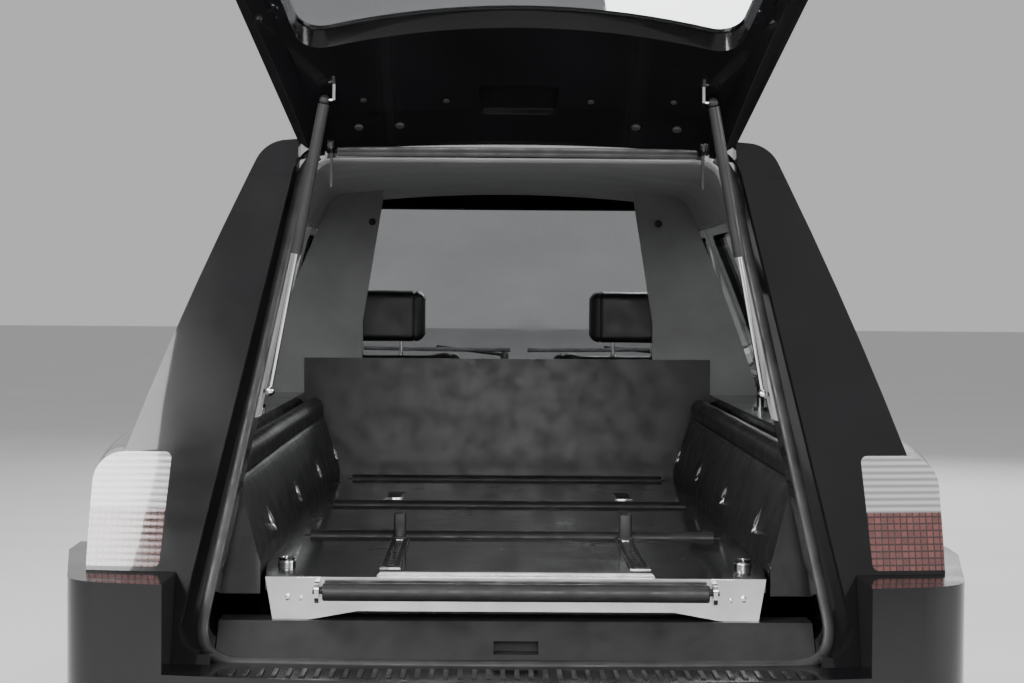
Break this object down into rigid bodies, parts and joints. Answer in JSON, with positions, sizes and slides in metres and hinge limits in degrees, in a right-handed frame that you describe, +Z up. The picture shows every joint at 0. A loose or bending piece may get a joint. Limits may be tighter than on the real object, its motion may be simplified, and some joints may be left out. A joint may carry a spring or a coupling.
{
  "type": "hearse",
  "caption": "Long black estate-bodied hearse with a raised tailgate on gas struts, a roller deck behind the cab, opening doors and bonnet, and steered front wheels.",
  "frame": {"origin": "on the ground, at the middle of the vehicle's length and width with the tailgate raised", "axes": "+Y forward, +X to the vehicle's right-hand side, +Z up"},
  "size_m": [2.078, 5.7953, 2.1547],
  "materials": {
    "black_paint": "gloss",
    "chassis_paint": "satin",
    "dark_plastic": "satin",
    "bright_metal": "polished",
    "headlamp": "clear",
    "lamp_lens": "gloss",
    "dark_glass": "clear",
    "deck_laminate": "gloss",
    "roller_rubber": "satin",
    "polished_steel": "polished",
    "black_leather": "grained",
    "pale_lining": "matt",
    "cast_metal": "rough",
    "tyre_rubber": "matt",
    "alloy": "satin"
  },
  "bodies": {
    "body": {"roof": "black_paint", "side_left": "black_paint", "side_right": "black_paint", "fender_left": "black_paint", "fender_right": "black_paint", "cowl": "black_paint", "floor_pan": "chassis_paint", "front_bumper": "black_paint", "rear_bumper": "black_paint", "rear_sill": "dark_plastic", "grille": "bright_metal", "headlamps": "headlamp", "tail_lamps": "lamp_lens", "windscreen": "dark_glass", "side_windows": "dark_glass", "hinges": "chassis_paint", "deck": "deck_laminate", "deck_rollers": "roller_rubber", "deck_fittings": "bright_metal", "sill_plate": "polished_steel", "side_trims": "black_leather", "side_ledges": "deck_laminate", "wreath_rails": "bright_metal", "headlining": "pale_lining", "partition": "black_leather", "front_seats": "black_leather", "dashboard": "dark_plastic", "steering_wheel": "dark_plastic", "front_suspension": "chassis_paint", "wheel_liners": "dark_plastic", "rear_axle": "cast_metal", "engine_block": "cast_metal", "fuel_tank": "dark_plastic", "exhaust": "polished_steel"},
    "door_left": {"door_left": "black_paint", "door_glass_left": "dark_glass", "mirror_left": "black_paint"},
    "door_right": {"door_right": "black_paint", "door_glass_right": "dark_glass", "mirror_right": "black_paint"},
    "bonnet": {"bonnet": "black_paint"},
    "tailgate": {"tailgate": "black_paint", "tailgate_glass": "dark_glass", "tailgate_arms": "bright_metal"},
    "strut_tube_left": {"strut_tube_left": "chassis_paint"},
    "strut_rod_left": {"strut_rod_left": "bright_metal"},
    "knuckle_left": {"knuckle_left": "cast_metal"},
    "wheel_front_left": {"tyre_front_left": "tyre_rubber", "rim_front_left": "alloy"},
    "wheel_rear_left": {"tyre_rear_left": "tyre_rubber", "rim_rear_left": "alloy"},
    "strut_tube_right": {"strut_tube_right": "chassis_paint"},
    "strut_rod_right": {"strut_rod_right": "bright_metal"},
    "knuckle_right": {"knuckle_right": "cast_metal"},
    "wheel_front_right": {"tyre_front_right": "tyre_rubber", "rim_front_right": "alloy"},
    "wheel_rear_right": {"tyre_rear_right": "tyre_rubber", "rim_rear_right": "alloy"},
    "sill_roller": {"sill_roller": "roller_rubber"}
  },
  "joints": [
    {"name": "door_right_hinge", "type": "hinge", "parent": "body", "child": "door_right", "pos_m": [0.884, 1.282, 0.56], "axis": [0, 0, 1], "range_deg": [0, 65]},
    {"name": "door_left_hinge", "type": "hinge", "parent": "body", "child": "door_left", "pos_m": [-0.884, 1.282, 0.56], "axis": [0, 0, -1], "range_deg": [0, 65]},
    {"name": "bonnet_hinge", "type": "hinge", "parent": "body", "child": "bonnet", "pos_m": [0, 1.48, 0.955], "axis": [1, 0, 0], "range_deg": [0, 50]},
    {"name": "tailgate_hinge", "type": "hinge", "parent": "body", "child": "tailgate", "pos_m": [0, -2.027, 1.562], "axis": [1, 0, 0], "range_deg": [0, 100.7]},
    {"name": "strut_tube_right_pivot", "type": "hinge", "parent": "tailgate", "child": "strut_tube_right", "pos_m": [0.372, -2.22149, 1.63517], "axis": [-0.9965, -0.043, 0.0723], "range_deg": [0, 127.24]},
    {"name": "strut_rod_right_slide", "type": "slide", "parent": "strut_tube_right", "child": "strut_rod_right", "axis": [-0.187, -0.083, 0.9789], "range_m": [0, 0.25064]},
    {"name": "strut_tube_left_pivot", "type": "hinge", "parent": "tailgate", "child": "strut_tube_left", "pos_m": [-0.372, -2.22149, 1.63517], "axis": [-0.9965, 0.043, -0.0723], "range_deg": [0, 127.24]},
    {"name": "strut_rod_left_slide", "type": "slide", "parent": "strut_tube_left", "child": "strut_rod_left", "axis": [0.187, -0.083, 0.9789], "range_m": [0, 0.25064]},
    {"name": "steer_right", "type": "hinge", "parent": "body", "child": "knuckle_right", "pos_m": [0.713, 1.998, 0.33], "axis": [0, 0, 1], "range_deg": [-35, 35]},
    {"name": "wheel_front_right_spin", "type": "hinge", "parent": "knuckle_right", "child": "wheel_front_right", "pos_m": [0.775, 1.998, 0.33], "axis": [1, 0, 0], "continuous": true},
    {"name": "wheel_rear_right_spin", "type": "hinge", "parent": "body", "child": "wheel_rear_right", "pos_m": [0.775, -1.452, 0.33], "axis": [1, 0, 0], "continuous": true},
    {"name": "steer_left", "type": "hinge", "parent": "body", "child": "knuckle_left", "pos_m": [-0.713, 1.998, 0.33], "axis": [0, 0, 1], "range_deg": [-35, 35]},
    {"name": "wheel_front_left_spin", "type": "hinge", "parent": "knuckle_left", "child": "wheel_front_left", "pos_m": [-0.775, 1.998, 0.33], "axis": [1, 0, 0], "continuous": true},
    {"name": "wheel_rear_left_spin", "type": "hinge", "parent": "body", "child": "wheel_rear_left", "pos_m": [-0.775, -1.452, 0.33], "axis": [1, 0, 0], "continuous": true},
    {"name": "sill_roller_spin", "type": "hinge", "parent": "body", "child": "sill_roller", "pos_m": [0, -2.319, 0.704], "axis": [1, 0, 0], "continuous": true}
  ],
  "couplings": [
    {"joint": "strut_tube_right_pivot", "follows": "tailgate_hinge", "ratio": 1.2635},
    {"joint": "strut_rod_right_slide", "follows": "tailgate_hinge", "m_per_rad": 0.14255},
    {"joint": "strut_tube_left_pivot", "follows": "tailgate_hinge", "ratio": 1.2635},
    {"joint": "strut_rod_left_slide", "follows": "tailgate_hinge", "m_per_rad": 0.14255},
    {"joint": "steer_left", "follows": "steer_right", "ratio": 1}
  ]
}
